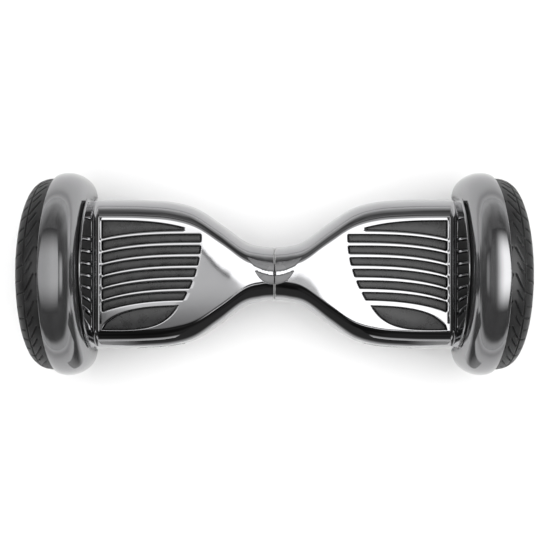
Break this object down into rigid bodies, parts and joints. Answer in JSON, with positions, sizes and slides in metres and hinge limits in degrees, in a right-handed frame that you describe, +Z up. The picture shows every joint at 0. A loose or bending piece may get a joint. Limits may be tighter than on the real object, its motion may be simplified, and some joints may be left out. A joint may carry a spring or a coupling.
{
  "type": "self balancing hoverboard",
  "caption": "Self balancing board with chrome plated shells, ribbed foot decks, a central twist pivot and fendered hub motor wheels.",
  "frame": {"origin": "on the ground under the middle of the board, at the bottom centre of its bounding box", "axes": "+X along the wheel axle towards the right wheel, +Z up, the front edge with the headlights faces -Y"},
  "size_m": [0.628, 0.267, 0.26],
  "materials": {
    "chrome_plated_shell": "mirror bright chrome plating on moulded ABS",
    "cast_alloy": "fine cast, satin",
    "mat_rubber": "matt, fine grained",
    "tyre_rubber": "matt tread rubber",
    "steel": "turned and bright",
    "black_plastic": "fine moulded grain",
    "lamp_lens": "smoked, polished",
    "clear_lens": "clear, polished",
    "circuit_board": "green solder mask",
    "lamination": "stacked and varnished",
    "magnet": "nickel plated",
    "cable_sheath": "smooth sleeve",
    "battery_wrap": "heat shrunk sleeve"
  },
  "bodies": {
    "left_half": {"left_frame": "cast_alloy", "left_top_shell": "chrome_plated_shell", "left_bottom_shell": "chrome_plated_shell", "left_fender": "chrome_plated_shell", "left_kick_pad": "mat_rubber", "left_lamp_upper": "lamp_lens", "left_lamp_lower": "lamp_lens", "left_headlight_lens": "clear_lens", "left_headlight_board": "circuit_board", "left_sensor_board": "circuit_board", "left_axle_clamp": "cast_alloy", "left_axle": "steel", "left_stator": "lamination", "pivot_shaft": "steel", "neck_seal": "mat_rubber", "retaining_ring": "steel", "wiring_loom": "cable_sheath", "left_motor_cable": "cable_sheath", "battery_pack": "battery_wrap", "battery_strap": "black_plastic"},
    "right_half": {"right_frame": "cast_alloy", "right_top_shell": "chrome_plated_shell", "right_bottom_shell": "chrome_plated_shell", "right_fender": "chrome_plated_shell", "right_kick_pad": "mat_rubber", "right_lamp_upper": "lamp_lens", "right_lamp_lower": "lamp_lens", "right_headlight_lens": "clear_lens", "right_headlight_board": "circuit_board", "right_sensor_board": "circuit_board", "right_axle_clamp": "cast_alloy", "right_axle": "steel", "right_stator": "lamination", "pivot_bush_near": "black_plastic", "pivot_bush_far": "black_plastic", "right_motor_cable": "cable_sheath", "heat_sink": "cast_alloy", "control_board": "circuit_board", "charge_socket": "black_plastic", "power_switch": "black_plastic"},
    "left_wheel": {"left_hub": "cast_alloy", "left_hub_cover": "cast_alloy", "left_magnet_ring": "magnet", "left_inner_bearing": "steel", "left_outer_bearing": "steel", "left_tyre": "tyre_rubber", "left_inner_tube": "mat_rubber", "left_valve": "black_plastic"},
    "right_wheel": {"right_hub": "cast_alloy", "right_hub_cover": "cast_alloy", "right_magnet_ring": "magnet", "right_inner_bearing": "steel", "right_outer_bearing": "steel", "right_tyre": "tyre_rubber", "right_inner_tube": "mat_rubber", "right_valve": "black_plastic"},
    "left_mat": {"left_foot_mat": "mat_rubber"},
    "right_mat": {"right_foot_mat": "mat_rubber"},
    "power_button": {"power_button": "steel"},
    "charge_cap": {"charge_cap": "mat_rubber"}
  },
  "joints": [
    {"name": "pivot", "type": "hinge", "parent": "left_half", "child": "right_half", "pos_m": [0, 0, 0.12652], "axis": [1, 0, 0], "range_deg": [-12, 12]},
    {"name": "left_wheel_spin", "type": "hinge", "parent": "left_half", "child": "left_wheel", "pos_m": [-0.285, 0, 0.12652], "axis": [1, 0, 0], "continuous": true},
    {"name": "right_wheel_spin", "type": "hinge", "parent": "right_half", "child": "right_wheel", "pos_m": [0.285, 0, 0.12652], "axis": [1, 0, 0], "continuous": true},
    {"name": "left_mat_press", "type": "slide", "parent": "left_half", "child": "left_mat", "axis": [0, 0, -1], "range_m": [0, 0.0012], "stiffness_N_per_m": 8000},
    {"name": "right_mat_press", "type": "slide", "parent": "right_half", "child": "right_mat", "axis": [0, 0, -1], "range_m": [0, 0.0012], "stiffness_N_per_m": 8000},
    {"name": "power_button_press", "type": "slide", "parent": "right_half", "child": "power_button", "axis": [0, 0, 1], "range_m": [0, 0.0012], "stiffness_N_per_m": 300},
    {"name": "charge_cap_swing", "type": "hinge", "parent": "right_half", "child": "charge_cap", "pos_m": [0.208, -0.042, 0.06012], "axis": [-1, 0, 0], "range_deg": [0, 100]}
  ]
}
